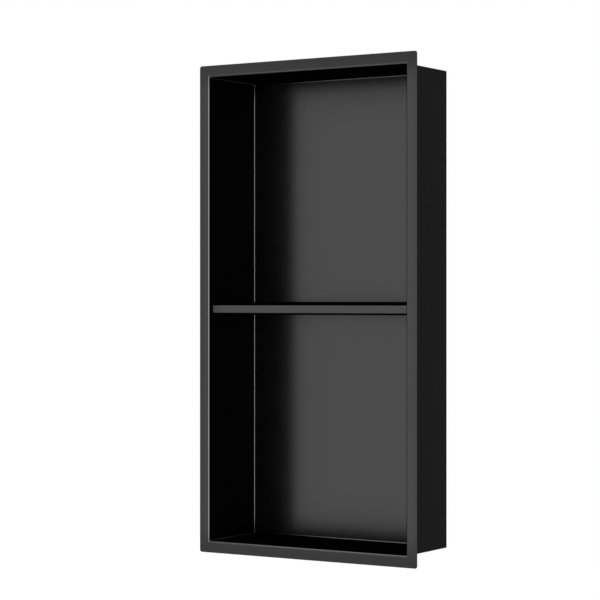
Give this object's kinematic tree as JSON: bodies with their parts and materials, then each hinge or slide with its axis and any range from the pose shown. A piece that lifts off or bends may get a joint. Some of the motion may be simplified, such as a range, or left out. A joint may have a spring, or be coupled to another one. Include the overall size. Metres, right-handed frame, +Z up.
{
  "type": "shower niche insert",
  "caption": "Recessed shower niche insert: an upright tray of folded sheet, coated satin black, with a flange round its open front and a fixed shelf at mid-height.",
  "frame": {"origin": "middle of the opening, in the plane of the flange's back face, which is the face of the finished wall", "axes": "+X to the right as seen from the room, +Y into the wall, +Z up; the open front faces -Y"},
  "size_m": [0.311, 0.102, 0.61],
  "materials": {
    "black_coated_sheet": "satin black coat on stainless sheet"
  },
  "bodies": {
    "root": {"niche_body": "black_coated_sheet", "shelf": "black_coated_sheet"}
  },
  "joints": []
}
